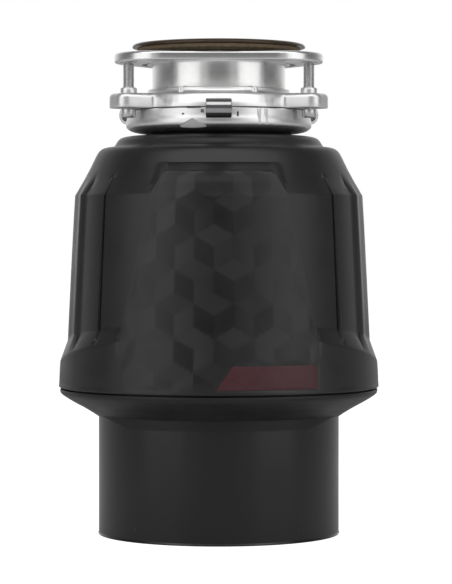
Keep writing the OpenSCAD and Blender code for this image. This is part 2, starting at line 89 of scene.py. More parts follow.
def revolve(prof, n=160, closed=True):
    """prof: closed list of (r, z) in mm, turned about Z."""
    verts, faces = [], []
    m = len(prof)
    for i in range(n):
        a = 2 * math.pi * i / n
        for r, z in prof:
            verts.append((r * math.sin(a), -r * math.cos(a), z))
    for i in range(n):
        k = (i + 1) % n
        for j in range(m if closed else m - 1):
            l = (j + 1) % m
            faces.append((i * m + j, k * m + j, k * m + l, i * m + l))
    return verts, faces


# ---------------------------------------------------------------- materials
def mat_new(name):
    m = bpy.data.materials.new(name)
    m.use_nodes = True
    nt = m.node_tree
    b = nt.nodes["Principled BSDF"]
    return m, nt, b


def node(nt, kind, **kw):
    n = nt.nodes.new(kind)
    for k, v in kw.items():
        if k.startswith("i_"):
            n.inputs[k[2:].replace("_", " ")].default_value = v
        else:
            setattr(n, k, v)
    return n


def coords(nt, scale=(1, 1, 1)):
    tc = node(nt, "ShaderNodeTexCoord")
    mp = node(nt, "ShaderNodeMapping")
    mp.inputs["Scale"].default_value = scale
    nt.links.new(tc.outputs["Object"], mp.inputs["Vector"])
    return mp.outputs["Vector"]


def ramp(nt, src, stops):
    r = node(nt, "ShaderNodeValToRGB")
    el = r.color_ramp.elements
    while len(el) < len(stops):
        el.new(0.5)
    for e, (p, c) in zip(el, stops):
        e.position = p
        e.color = (c, c, c, 1) if isinstance(c, (int, float)) else (*c, 1)
    nt.links.new(src, r.inputs["Fac"])
    return r.outputs["Color"]


def noise_tex(nt, vec, scale, detail=3.0, rough=0.5):
    n = node(nt, "ShaderNodeTexNoise")
    n.inputs["Scale"].default_value = scale
    n.inputs["Detail"].default_value = detail
    n.inputs["Roughness"].default_value = rough
    nt.links.new(vec, n.inputs["Vector"])
    return n.outputs["Fac"]


def bump(nt, b, heights):
    """heights: list of (socket, strength, distance_m)."""
    prev = None
    for h, s, d in heights:
        bp = node(nt, "ShaderNodeBump")
        bp.inputs["Strength"].default_value = s
        bp.inputs["Distance"].default_value = d
        nt.links.new(h, bp.inputs["Height"])
        if prev:
            nt.links.new(prev, bp.inputs["Normal"])
        prev = bp.outputs["Normal"]
    nt.links.new(prev, b.inputs["Normal"])


def plastic(name, col, rough, var=0.05, grain=2600, grain_s=0.25, spec=0.5, wave=60, colvar=0.15, dust=0.0):
    m, nt, b = mat_new(name)
    v = coords(nt)
    n1 = noise_tex(nt, v, wave, 4)
    n2 = noise_tex(nt, v, grain, 2)
    lo = tuple(c * (1 - colvar) for c in col)
    hi = tuple(min(1, c * (1 + colvar)) for c in col)
    nt.links.new(ramp(nt, n1, [(0.3, lo), (0.7, hi)]), b.inputs["Base Color"])
    nt.links.new(ramp(nt, n1, [(0.35, rough - var), (0.65, rough + var)]), b.inputs["Roughness"])
    b.inputs["Specular IOR Level"].default_value = spec
    bump(nt, b, [(n1, 0.04, 0.0008), (n2, grain_s, 0.00003)])
    return m


def metal(name, col, rough, var=0.06, mode="cast", scale=900, strength=0.25, dist=0.00004, tint=None):
    m, nt, b = mat_new(name)
    v = coords(nt)
    b.inputs["Metallic"].default_value = 1.0
    n1 = noise_tex(nt, v, 140, 4)
    if mode == "turned":  # fine rings about Z
        s = coords(nt, (0.02, 0.02, 1))
        n2 = noise_tex(nt, s, 5200, 2)
    elif mode == "drawn":
        s = coords(nt, (1, 1, 0.03))
        n2 = noise_tex(nt, s, 3000, 2)
    else:
        n2 = noise_tex(nt, v, scale, 4, 0.65)
    mixc = node(nt, "ShaderNodeMix", data_type="RGBA")
    mixc.inputs["A"].default_value = (*[c * 0.9 for c in col], 1)
    mixc.inputs["B"].default_value = (*[min(1, c * 1.06) for c in col], 1)
    nt.links.new(n1, mixc.inputs["Factor"])
    out = mixc.outputs["Result"]
    if tint:  # (z lowest in m, z highest in m, colour)
        geo = node(nt, "ShaderNodeTexCoord")
        sep = node(nt, "ShaderNodeSeparateXYZ")
        nt.links.new(geo.outputs["Object"], sep.inputs[0])
        mr = node(nt, "ShaderNodeMapRange")
        mr.inputs["From Min"].default_value = tint[0]
        mr.inputs["From Max"].default_value = tint[1]
        nt.links.new(sep.outputs["Z"], mr.inputs["Value"])
        m2 = node(nt, "ShaderNodeMix", data_type="RGBA")
        m2.inputs["B"].default_value = (*tint[2], 1)
        nt.links.new(mr.outputs["Result"], m2.inputs["Factor"])
        nt.links.new(out, m2.inputs["A"])
        out = m2.outputs["Result"]
    nt.links.new(out, b.inputs["Base Color"])
    nt.links.new(ramp(nt, n2, [(0.3, rough - var), (0.7, rough + var)]), b.inputs["Roughness"])
    bump(nt, b, [(n1, 0.05, 0.0005), (n2, strength, dist)])
    return m


MATS = {
    "shell_black": plastic("shell_satin_black", (0.0150, 0.0147, 0.0154), 0.40, 0.025, 2400, 0.22, 0.5, 45),
    "can_black": plastic("can_enamel_black", (0.0052, 0.0049, 0.0052), 0.215, 0.02, 900, 0.10, 0.5, 30),
    "badge_maroon": plastic("badge_label_maroon", (0.066, 0.020, 0.025), 0.42, 0.03, 3000, 0.10, 0.35, 80),
    "dark_plastic": plastic("moulded_dark", (0.02, 0.02, 0.021), 0.45, 0.05, 1800, 0.3),
    "cream_plastic": plastic("moulded_cream", (0.55, 0.5, 0.36), 0.5, 0.05, 1800, 0.3),
    "red_plastic": plastic("moulded_red", (0.42, 0.012, 0.012), 0.32, 0.04, 1800, 0.2),
    "black_rubber": plastic("moulded_rubber", (0.014, 0.014, 0.0145), 0.62, 0.07, 1500, 0.5, 0.35),
    "foam": plastic("acoustic_foam", (0.05, 0.05, 0.052), 0.95, 0.03, 420, 1.0, 0.1),
    "fiber": plastic("pressed_fibre", (0.20, 0.15, 0.085), 0.8, 0.06, 700, 0.8, 0.2, 300, 0.35),
    "green_paint": plastic("earth_screw_green", (0.02, 0.2, 0.05), 0.35, 0.05, 1200, 0.2),
    "polished_steel": metal("polished_stainless", (0.86, 0.855, 0.85), 0.24, 0.03, "turned", strength=0.05, dist=0.00001),
    "cast_zinc": metal("tumbled_casting", (0.86, 0.86, 0.865), 0.25, 0.02, "cast", 1100, 0.06, 0.00001),
    "spring_steel": metal("drawn_steel", (0.84, 0.84, 0.845), 0.36, 0.05, "turned", strength=0.08, dist=0.00001),
    "zinc_steel": metal("zinc_plated", (0.66, 0.66, 0.67), 0.27, 0.08, "cast", 1500, 0.2, 0.00003),
    "stainless": metal("pressed_stainless", (0.62, 0.62, 0.62), 0.3, 0.08, "drawn", strength=0.2),
    "cast_aluminium": metal("as_cast_aluminium", (0.6, 0.61, 0.62), 0.42, 0.08, "cast", 800, 0.6, 0.00008),
    "laminations": metal("stacked_laminations", (0.25, 0.26, 0.28), 0.45, 0.08, "turned", strength=0.6, dist=0.00008),
    "copper": metal("enamelled_copper", (0.65, 0.26, 0.12), 0.3, 0.06, "drawn", strength=0.7, dist=0.0001),
    "bronze": metal("sintered_bronze", (0.55, 0.37, 0.17), 0.4, 0.06, "cast", 2000, 0.5, 0.00004),
}
RING = metal("vapour_blasted_steel", (0.9, 0.9, 0.9), 0.38, 0.04, "cast", 1300, 0.14, 0.00002)


def brim_painted_reflection_material():
    """polished steel whose pressed brim is painted dark brown and non-metallic: a painted reflection standing in for
    the dark surroundings that the polished brim mirrors.
    """
    m = metal("flange_steel_painted_dark_reflection_brim", (0.86, 0.855, 0.85), 0.24, 0.03, "turned", strength=0.05, dist=0.00001)
    nt = m.node_tree
    b = nt.nodes["Principled BSDF"]
    tc = node(nt, "ShaderNodeTexCoord")
    sep = node(nt, "ShaderNodeSeparateXYZ")
    nt.links.new(tc.outputs["Object"], sep.inputs[0])
    rad = node(nt, "ShaderNodeVectorMath", operation="LENGTH")
    flat = node(nt, "ShaderNodeCombineXYZ")
    nt.links.new(sep.outputs["X"], flat.inputs["X"])
    nt.links.new(sep.outputs["Y"], flat.inputs["Y"])
    nt.links.new(flat.outputs[0], rad.inputs[0])
    # painted reflection: from radius 47.5 to 51.5 mm the steel turns into a dark brown, non-metallic colour
    mr = node(nt, "ShaderNodeMapRange", interpolation_type="SMOOTHSTEP")
    mr.inputs["From Min"].default_value = 0.0475
    mr.inputs["From Max"].default_value = 0.0515
    nt.links.new(rad.outputs["Value"], mr.inputs["Value"])
    old = b.inputs["Base Color"].links[0].from_socket
    mx = node(nt, "ShaderNodeMix", data_type="RGBA")
    nt.links.new(old, mx.inputs["A"])
    n3 = noise_tex(nt, coords(nt, (1, 1, 4)), 160, 4)
    # dark brown colour of the painted reflection on the brim
    nt.links.new(ramp(nt, n3, [(0.3, (0.040, 0.024, 0.014)), (0.7, (0.062, 0.040, 0.024))]), mx.inputs["B"])
    nt.links.new(mr.outputs["Result"], mx.inputs["Factor"])
    nt.links.new(mx.outputs["Result"], b.inputs["Base Color"])
    inv = node(nt, "ShaderNodeMapRange")
    inv.inputs["To Min"].default_value = 1.0
    inv.inputs["To Max"].default_value = 0.0
    nt.links.new(mr.outputs["Result"], inv.inputs["Value"])
    nt.links.new(inv.outputs["Result"], b.inputs["Metallic"])
    b.inputs["Specular IOR Level"].default_value = 0.35
    return m


BRIM_PAINTED_REFLECTION = brim_painted_reflection_material()


def fibre_painted_light_material():
    """pressed fibre: lighter tan above, the fibre's own colour lifted as a painted highlight on its edge, and dark
    olive below, a painted shadow near the ring.
    """
    m, nt, b = mat_new("fibre_painted_highlight_and_shadow")
    v = coords(nt)
    sep = node(nt, "ShaderNodeSeparateXYZ")
    nt.links.new(v, sep.inputs[0])
    # painted light: below z 315.5 mm the fibre is dark olive (painted shadow), above it light tan (painted highlight)
    mr = node(nt, "ShaderNodeMapRange", interpolation_type="SMOOTHSTEP")
    mr.inputs["From Min"].default_value = 0.3155
    mr.inputs["From Max"].default_value = 0.3163
    nt.links.new(sep.outputs["Z"], mr.inputs["Value"])
    n1 = noise_tex(nt, v, 300, 4)
    mx = node(nt, "ShaderNodeMix", data_type="RGBA")
    nt.links.new(mr.outputs["Result"], mx.inputs["Factor"])
    nt.links.new(ramp(nt, n1, [(0.3, (0.050, 0.040, 0.024)), (0.7, (0.085, 0.068, 0.042))]), mx.inputs["A"])
    nt.links.new(ramp(nt, n1, [(0.3, (0.17, 0.125, 0.075)), (0.7, (0.26, 0.19, 0.12))]), mx.inputs["B"])
    nt.links.new(mx.outputs["Result"], b.inputs["Base Color"])
    nt.links.new(ramp(nt, n1, [(0.3, 0.62), (0.7, 0.78)]), b.inputs["Roughness"])
    b.inputs["Specular IOR Level"].default_value = 0.3
    bump(nt, b, [(n1, 0.3, 0.0002), (noise_tex(nt, v, 1400, 3), 0.5, 0.00005)])
    return m


FIBRE_PAINTED_LIGHT = fibre_painted_light_material()


def shell_painted_shade_material():
    """satin black moulding; the front panel carries a painted shade per facet: the three rhombus directions get lit
    and shaded tones like cube faces, with random variation per rhombus.
    """
    m = plastic("shell_satin_black_painted_shade_per_facet", (0.0122, 0.0117, 0.0124), 0.38, 0.025, 2400, 0.22, 0.5, 45)
    nt = m.node_tree
    b = nt.nodes["Principled BSDF"]
    # painted shade per facet, read from the mesh attribute and added to the base colour
    at = node(nt, "ShaderNodeAttribute", attribute_name="facet_painted_shade")
    mr = node(nt, "ShaderNodeMapRange")
    mr.inputs["From Min"].default_value = -0.35
    mr.inputs["From Max"].default_value = 0.65
    mr.inputs["To Min"].default_value = -0.0080
    mr.inputs["To Max"].default_value = 0.0125
    nt.links.new(at.outputs["Fac"], mr.inputs["Value"])
    old = b.inputs["Base Color"].links[0].from_socket
    ad = node(nt, "ShaderNodeVectorMath", operation="ADD")
    nt.links.new(old, ad.inputs[0])
    nt.links.new(mr.outputs["Result"], ad.inputs[1])
    nt.links.new(ad.outputs["Vector"], b.inputs["Base Color"])
    return m


SHELL_PAINTED_FACET_SHADE = shell_painted_shade_material()
COLLAR = plastic("collar_satin_black", (0.0215, 0.0205, 0.0213), 0.42, 0.03, 2400, 0.22, 0.25, 45)
SLOT = {s["node"]: s["material_slot"] for s in frame["record"]["subparts"]}
for name, o in NODES.items():
    o.data.materials.clear()
    o.data.materials.append(COLLAR if name == "lower_collar" else MATS[SLOT[name]])


# ---------------------------------------------------------------- outer shell
WALL = [(110, 99.2), (127, 99.2), (146, 98.3), (166, 97.3), (186, 96.3), (205, 95.3), (221.6, 94.3),
        (231, 88.8), (239, 84.5), (246.5, 80.9), (248.6, 79.8), (250.4, 78.6), (251.6, 77.3), (252.5, 75.6), (253.0, 73.6), (253.2, 71.2)]
CAP = [(253.4, 69.3), (254.2, 68.3), (256, 67.2), (257.7, 66.1), (259, 64.6), (259.8, 62.6), (260.3, 59.6), (260.8, 53), (261.2, 46.4)]
SKIRT = [(96.4, 104.5), (96.9, 105.05), (98.3, 105.05), (98.9, 104.85), (107, 104.55), (116, 103.95), (130, 103.5), (140, 103.1)]
PANEL = [(96.4, 104.5), (96.9, 105.05), (98.3, 105.05), (98.9, 104.85), (107, 104.55), (116, 103.95), (130, 103.1), (150, 102.25), (170, 101.4), (212, 99.2),
         (219.5, 98.4), (223, 97.6), (229, 96.4), (235.2, 94.8), (235.9, 94.3), (240.8, 85.0), (241.6, 83.4)]
PX = [(96, 63.6), (129.4, 63.4), (221.6, 43.8), (236, 36.2), (241.6, 33.6)]
SEAM = 96.4
CREASE = 221.6
PTOP = 241.6


def wall_pattern(a):
    """small stand-out of the side wall's facets at azimuth a (degrees, 0..180), mm."""
    a = a if a <= 90 else 180 - a
    return table([(0, 0), (49.2, 0.0), (49.45, -1.1), (50.2, -1.1), (50.6, 1.0), (52, 0.95), (63.6, -0.35), (64.2, -1.3), (64.9, -1.3),
                  (65.3, -0.5), (68.6, 1.0), (69.2, 1.0), (75.4, -0.7), (76.4, -0.9), (83, 0.0), (90, 0)], a)


def rand01(i, j, k=0):
    random.seed(i * 7349 + j * 915 + k * 131 + 17)
    return random.random()


S_HEX = 14.2


def relief(u, v):
    """faceted cube tiling; u across, v up, in mm. Continuous, planar over each triangle."""
    # triangular lattice with vertical edges: columns 12.3 mm apart
    w = S_HEX * math.sqrt(3) / 2
    c = u / w
    r = v / S_HEX
    c0 = math.floor(c)
    fc = c - c0
    # lattice point (i, j) sits at u = i w, v = (j + 0.5 (i odd)) S
    def hgt(i, j):
        k = (j * 2 + (i & 1))  # half steps
        cls = (k - i) // 2 if False else 0
        # three-way colouring of the triangular lattice
        q = (i, (k - i) // 2)
        t = (q[0] + 2 * q[1]) % 3 if False else (q[0] - q[1]) % 3
        base = (0.0, 1.0, -1.0)[t]
        return base + 0.6 * (rand01(i, j) - 0.5)

    def lp(i, half):  # lattice point with v = half/2 * S, i parity must equal half parity
        j = (half - (i & 1)) // 2
        return hgt(i, j)

    # rhombic cell between column c0 and c0+1: points alternate by half steps
    # left column points at half = parity of c0 (mod 2); right column the other parity
    h2 = r * 2
    pl = c0 & 1
    # find triangle: edges slope +-1 half step per column
    # candidates: left points L = even/odd halves
    a = h2 - fc * 1.0   # along rising edges
    b = h2 + fc * 1.0   # along falling edges
    # left point below
    kl = math.floor((h2 - pl) / 2) * 2 + pl  # left lattice half <= h2
    # local coordinate above kl
    y = h2 - kl  # 0..2
    # right point between kl and kl+2 is kl+1
    # triangle L0(kl), L1(kl+2), R(kl+1) contains the point if fc <= region
    if y >= fc and y <= 2 - fc:
        hL0, hL1, hR = lp(c0, kl), lp(c0, kl + 2), lp(c0 + 1, kl + 1)
        # barycentric: at fc=0 between L0/L1, at fc=1 at R
        tr = fc
        t1 = (y - fc) / 2
        t0 = 1 - tr - t1
        return hL0 * t0 + hL1 * t1 + hR * tr
    if y < fc:  # lower: L0, R(kl-1), R(kl+1)
        hL0, hRa, hRb = lp(c0, kl), lp(c0 + 1, kl - 1), lp(c0 + 1, kl + 1)
        tl = 1 - fc
        tb = (y + fc) / 2
        ta = 1 - tl - tb
        return hL0 * tl + hRa * ta + hRb * tb
    hL1, hRa, hRb = lp(c0, kl + 2), lp(c0 + 1, kl + 1), lp(c0 + 1, kl + 3)
    tl = 1 - fc
    tb = (y - 2 + fc) / 2
    ta = 1 - tl - tb
    return hL1 * tl + hRa * ta + hRb * tb


RELIEF_A = 0.55


def panel_surface(phi, z):
    """outer radius of the front panel with its relief, at azimuth phi (rad)."""
    r = table(PANEL, z)
    u = phi * 100.0
    fade = smooth((z - 98) / 5) * smooth((237 - z) / 3)
    edge = table(PX, z) - abs(r * math.sin(phi))
    fade *= smooth((edge - 0.5) / 6)
    # flat seat under the badge
    x = r * math.sin(phi)
    inside = min(z - 98.9, 115.2 - z, 63.0 - x, x - table([(99.5, -2.6), (114.6, 8.0)], z))
    fade *= smooth((-inside) / 3.0)
    if inside > 0:
        r -= 0.35 * smooth(inside / 0.5)
    return min(105.05, r + RELIEF_A * fade * relief(u + 3.0, z - 4.0))


def rhombus_painted_shade(u, v):
    """0..1 painted shade of the rhombus under (u, v): the three rhombus directions get lit and shaded tones so they
    read as stacked cubes, with random variation per rhombus.
    """
    w = S_HEX * math.sqrt(3) / 2
    c0 = math.floor(u / w)
    fc = u / w - c0
    h2 = v / S_HEX * 2
    pl = c0 & 1
    kl = math.floor((h2 - pl) / 2) * 2 + pl
    y = h2 - kl
    if fc <= y <= 2 - fc:
        tri = [(c0, kl), (c0, kl + 2), (c0 + 1, kl + 1)]
    elif y < fc:
        tri = [(c0, kl), (c0 + 1, kl - 1), (c0 + 1, kl + 1)]
    else:
        tri = [(c0, kl + 2), (c0 + 1, kl + 1), (c0 + 1, kl + 3)]
    cls = {}
    for i, k in tri:
        j = (k - (i & 1)) // 2
        kk = j * 2 + (i & 1)
        cls[(i - (kk - i) // 2) % 3] = (i, k)
    if 1 not in cls or 2 not in cls:
        return 0.5
    p, q = cls[1], cls[2]
    if p[0] == q[0]:
        d = 0
    else:
        d = 1 if (q[1] - p[1]) * (q[0] - p[0]) > 0 else 2
    key = (p[0] * 31 + q[0] * 17, p[1] * 13 + q[1] * 7)
    # painted shade: a light, a dark and a middle tone for the three rhombus directions, plus random variation
    return max(0.0, min(1.0, (0.62, 0.16, 0.42)[d] + 0.55 * (rand01(key[0], key[1], 5) - 0.5)))


def ledge_low(yf):
    return 112 + 0.217 * max(0.0, yf)


def ledge_up(yf):
    return 126 + 0.155 * max(0.0, yf)


def build_shell():
    # columns: (nominal azimuth in degrees, kind, t)
    half = []
    n = 74
    for i in range(n + 1):
        half.append(("panel", i / n))
    for t in (0.35, 0.7, 1.0):
        half.append(("edge", t))
    br = [49.2, 49.45, 50.2, 50.6, 52, 54.5, 57, 60, 63.6, 64.2, 64.9, 65.3, 67, 68.6, 69.2, 71, 73.5, 75.4, 76.4, 79, 83, 86.5, 90]
    n = 10
    for i in range(1, n):
        half.append(("a", i / n))
    for b in br:
        half.append(("fix", b))
    for b in [180 - b for b in reversed(br[:-1])]:
        half.append(("fix", b))
    for b in [133, 136, 139, 142, 145, 148, 150.5, 152.6, 155, 158, 161, 164, 167, 170, 173, 176.5, 180]:
        half.append(("fix", b))
    # rows
    rows = []
    for z in (96.4, 96.62, 96.9, 97.6, 98.6):
        rows.append(("z", z))
    n = 16
    for i in range(0, n + 1):
        rows.append(("skirt", i / n))
    for t in (0.04, 0.12, 0.25, 0.5, 0.75, 0.88, 0.96, 1.0):
        rows.append(("ledge", t))
    for i in range(1, 10):
        rows.append(("low", i / 9))       # up to z = 148
    n = 70
    for i in range(1, n + 1):
        rows.append(("z", lerp(148, 219.6, i / n)))
    for z in (220.4, 221.0, 221.6, 222.2, 222.8, 223.6):
        rows.append(("z", z))
    z = 224.6
    while z < 240.2:
        rows.append(("z", z))
        z += 1.0
    for z in (240.4, 240.9, 241.3, 241.6, 242.2, 243.2, 244.4, 245.6, 246.5, 247.6, 248.6, 249.5, 250.4, 251.0, 251.6, 252.1, 252.5, 252.8, 253.0, 253.2):
        rows.append(("z", z))
    for z, r in CAP:
        rows.append(("cap", z))
    ncol_half = len(half)
    cols = [(-1, k) for k in reversed(half[1:])] + [(1, k) for k in half]
    cols = cols[1:]  # the two 180 degree columns coincide
    verts = []
    info = []

    def nominal(kind):
        k, t = kind
        if k == "panel":
            return 38.6 * t
        if k == "edge":
            return lerp(38.6, 39.6, t)
        if k == "a":
            return lerp(39.6, 49.2, t)
        return t

    for rk, rt in rows:
        for s, kind in cols:
            nom = nominal(kind)
            yf = 99 * math.cos(D(min(max(nom, 39.6), 180)))
            zl, zu = ledge_low(yf), ledge_up(yf)
            if rk in ("z", "cap"):
                z = rt
            elif rk == "skirt":
                z = lerp(98.6, zl, rt) if rt else 99.2
            elif rk == "ledge":
                z = lerp(zl, zu, rt)
            else:
                z = lerp(zu, 148, rt)
            # azimuth of this column at this height
            px = table(PX, z)
            rp = table(PANEL, z)
            pe = math.degrees(math.asin(min(0.99, px / rp)))
            k, t = kind
            ew = 1.1 if z < 222 else lerp(1.1, 5.8, min(1.0, (z - 222) / 14))
            if k == "panel":
                phi = (pe - ew * 0.35) * t
            elif k == "edge":
                phi = lerp(pe - ew * 0.35, pe + ew * 0.65, t)
            elif k == "a":
                phi = lerp(pe + ew * 0.65, 49.2, t)
            else:
                phi = t
            # radius
            zz = min(z, 253.2)
            rw = table(WALL, zz)
            f = smooth((z - 132) / 6) * (1 - smooth((z - 222) / 15))
            rw += wall_pattern(phi) * max(f, 0) if z > CREASE else wall_pattern(phi)
            rs = table(SKIRT, z)
            if rk == "cap":
                r = table(CAP, z)
            elif z > PTOP - 1e-6:
                r = rw
            else:
                if rk == "ledge":
                    r0 = table(SKIRT, zl)
                    r1 = table(WALL, zu) + wall_pattern(phi) * 0.9
                    e = rt
                    r = lerp(r0, r1, e)
                elif (rk == "z" and z < 100) or rk == "skirt":
                    r = rs
                else:
                    r = rw
                if k in ("panel", "edge"):
                    rpan = panel_surface(D(phi) * s, z)
                    if k == "panel":
                        r = rpan
                    else:
                        r = lerp(rpan, r, smooth(t) if t < 1 else 1)
            verts.append((s * r * math.sin(D(phi)), -r * math.cos(D(phi)), z))
    m = len(cols)
    faces = []
    for j in range(len(rows) - 1):
        for i in range(m):
            k = (i + 1) % m
            faces.append((j * m + i, j * m + k, (j + 1) * m + k, (j + 1) * m + i))
    return verts, faces


verts, faces = build_shell()
shell = new_obj("shell_moulding", verts, faces, SHELL_PAINTED_FACET_SHADE)
bm = bmesh.new()
bm.from_mesh(shell.data)
bmesh.ops.remove_doubles(bm, verts=bm.verts, dist=1e-6)
# window for the discharge port: split along its edges, then take the faces out
for co, no in (((-0.047, 0, 0), (1, 0, 0)), ((0.047, 0, 0), (1, 0, 0)), ((0, 0, 0.148), (0, 0, 1))):
    fs = [f for f in bm.faces if f.calc_center_median().y > 0.06]
    es = {e for f in fs for e in f.edges}
    vs = {v for f in fs for v in f.verts}
    bmesh.ops.bisect_plane(bm, geom=list(vs) + list(es) + fs, dist=1e-6, plane_co=co, plane_no=no)
gone = []
for f in bm.faces:
    c = f.calc_center_median()
    if c.y > 0.08 and abs(c.x) < 0.047 and c.z < 0.148:
        gone.append(f)
bmesh.ops.delete(bm, geom=gone, context="FACES")
loose = [v for v in bm.verts if not v.link_faces]
bmesh.ops.delete(bm, geom=loose, context="VERTS")
bmesh.ops.recalc_face_normals(bm, faces=bm.faces)
bm.to_mesh(shell.data)
bm.free()
# painted shade of each facet of the front panel, faded out towards the panel's edges
at = shell.data.attributes.new("facet_painted_shade", "FLOAT", "POINT")
for p in shell.data.vertices:
    c = p.co / MM
    t = 0.0
    if c.y < 0 and 99 < c.z < 236 and abs(c.x) < table(PX, c.z) - 1.2:
        ph = math.atan2(c.x, -c.y)
        edge = smooth((c.z - 99) / 8) * smooth((236 - c.z) / 5) * smooth((table(PX, c.z) - 1.2 - abs(c.x)) / 9)
        tone = 0.0
        for du, dv in ((-0.35, -0.35), (0.35, -0.35), (-0.35, 0.35), (0.35, 0.35), (0.0, 0.0)):
            tone += rhombus_painted_shade(ph * 100.0 + 3.0 + du, c.z - 4.0 + dv) / 5
        t = (tone - 0.4) * edge
    at.data[p.index].value = t
# thickness, then the hole for the dishwasher spigot
so = shell.modifiers.new("wall", "SOLIDIFY")
so.thickness = 0.0022
so.offset = -1
bpy.ops.mesh.primitive_cylinder_add(vertices=96, radius=0.018, depth=0.06, location=(0, 0.1, 0.236), rotation=(math.pi / 2, 0, 0))
cut = bpy.context.object
bo = shell.modifiers.new("hole", "BOOLEAN")
bo.object = cut
bo.operation = "DIFFERENCE"
bo.solver = "EXACT"
dg = bpy.context.evaluated_depsgraph_get()
me = bpy.data.meshes.new_from_object(shell.evaluated_get(dg))
shell.modifiers.clear()
shell.data = me
bpy.data.objects.remove(cut)
me.shade_smooth()
me.set_sharp_from_angle(angle=D(34))
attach(shell, "disposer")
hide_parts("trim_shell")


# badge: a blank raised label, thin, with a bevelled edge
def badge_poly(z):
    t = (z - 99.5) / 15.1
    return lerp(-1.9, 8.6, t), lerp(62.3, 61.6, t)


bv, bf = [], []
NU, NV = 60, 16
for j in range(NV + 1):
    z = lerp(99.6, 114.5, j / NV)
    xl, xr = badge_poly(z)
    for i in range(NU + 1):
        x = lerp(xl + 0.1, xr - 0.1, i / NU)
        r = table([(99.4, 104.9), (100.4, 105.0), (107, 104.75), (114.6, 104.15)], z)
        e = min(i, NU - i, 4) / 4.0
        e2 = min(j, NV - j, 1)
        r -= 0.22 * (1 - min(1.0, e * 1.2)) + (0.16 if e2 == 0 else 0)
        bv.append((x, -math.sqrt(r * r - x * x), z))
for j in range(NV):
    for i in range(NU):
        a0 = j * (NU + 1) + i
        bf.append((a0, a0 + 1, a0 + NU + 2, a0 + NU + 1))
badge = new_obj("badge_label", bv, bf, MATS["badge_maroon"])
bs = badge.modifiers.new("t", "SOLIDIFY")
bs.thickness = 0.0011
bs.offset = -1
dg = bpy.context.evaluated_depsgraph_get()
me = bpy.data.meshes.new_from_object(badge.evaluated_get(dg))
badge.modifiers.clear()
badge.data = me
me.shade_smooth()
me.set_sharp_from_angle(angle=D(30))
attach(badge, "disposer")
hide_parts("badge_plate")

# ---------------------------------------------------------------- round hardware
def tube_mesh(name, prof, node_name, slot, body, n=192, mat=None, angle=32):
    v, f = revolve(prof, n)
    o = new_obj(name, v, f, mat or MATS[slot])
    recalc(o)
    o.data.shade_smooth()
    o.data.set_sharp_from_angle(angle=D(angle))
    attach(o, body)
    if node_name:
        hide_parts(node_name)
    return o


def finish_piece(o, body, node_name, angle=32):
    recalc(o)
    o.data.shade_smooth()
    o.data.set_sharp_from_angle(angle=D(angle))
    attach(o, body)
    if node_name:
        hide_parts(node_name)
    return o


def fillet_path(pts, seg=9):
    """closed polygon [(x, y, radius, weight)] with rounded corners."""
    out = []
    n = len(pts)
    for i in range(n):
        p0, p1, p2 = pts[i - 1], pts[i], pts[(i + 1) % n]
        a = Vector((p0[0] - p1[0], p0[1] - p1[1]))
        b = Vector((p2[0] - p1[0], p2[1] - p1[1]))
        la, lb = a.length, b.length
        a.normalize()
        b.normalize()
        r = p1[2]
        cosv = max(-1, min(1, a.dot(b)))
        half = math.acos(cosv) / 2
        if r <= 0 or half > math.pi / 2 - 1e-3:
            out.append((p1[0], p1[1], p1[3]))
            continue
        t = min(r / math.tan(half), la * 0.49, lb * 0.49)
        r = t * math.tan(half)
        c = Vector((p1[0], p1[1])) + (a + b).normalized() * (r / math.sin(half))
        s = Vector((p1[0], p1[1])) + a * t
        e = Vector((p1[0], p1[1])) + b * t
        a0 = math.atan2(s.y - c.y, s.x - c.x)
        a1 = math.atan2(e.y - c.y, e.x - c.x)
        d = a1 - a0
        while d > math.pi:
            d -= 2 * math.pi
        while d < -math.pi:
            d += 2 * math.pi
        for k in range(seg + 1):
            u = a0 + d * k / seg
            out.append((c.x + r * math.cos(u), c.y + r * math.sin(u), p1[3]))
    return out


def resample(path, step):
    out = []
    n = len(path)
    for i in range(n):
        p, q = path[i], path[(i + 1) % n]
        L = math.hypot(q[0] - p[0], q[1] - p[1])
        if L < 1e-5:
            continue
        k = max(1, int(math.ceil(L / step)))
        for j in range(k):
            t = j / k
            out.append(tuple(lerp(p[c], q[c], t) for c in range(3)))
    return out


def plate(path, levels, inner, flare=None):
    """path: dense closed outline counter-clockwise; levels: (z, inset) bottom to top;
    inner: (r, z) from the top round to the bottom, turned about Z."""
    n = len(path)
    nor = []
    for i in range(n):
        p, q = path[i - 1], path[(i + 1) % n]
        t = Vector((q[0] - p[0], q[1] - p[1])).normalized()
        nor.append(Vector((t.y, -t.x)))
    verts, faces = [], []
    m = len(levels) + len(inner)
    for i in range(n):
        x, y, w = path[i]
        for z, ins in levels:
            k = -ins + (flare(z) * w if flare else 0)
            verts.append((x + nor[i].x * k, y + nor[i].y * k, z))
        a = math.atan2(y, x)
        for r, z in inner:
            verts.append((r * math.cos(a), r * math.sin(a), z))
    for i in range(n):
        k = (i + 1) % n
        for j in range(m):
            l = (j + 1) % m
            faces.append((i * m + j, k * m + j, k * m + l, i * m + l))
    return verts, faces


def ear_frame(az):
    a = Vector((math.sin(D(az)), -math.cos(D(az))))   # outward
    b = Vector((math.cos(D(az)), math.sin(D(az))))    # counter-clockwise
    return a, b


def add_mesh(bm, verts, faces):
    vs = [bm.verts.new(tuple(c * MM for c in v)) for v in verts]
    for f in faces:
        try:
            bm.faces.new([vs[i] for i in f])
        except ValueError:
            pass


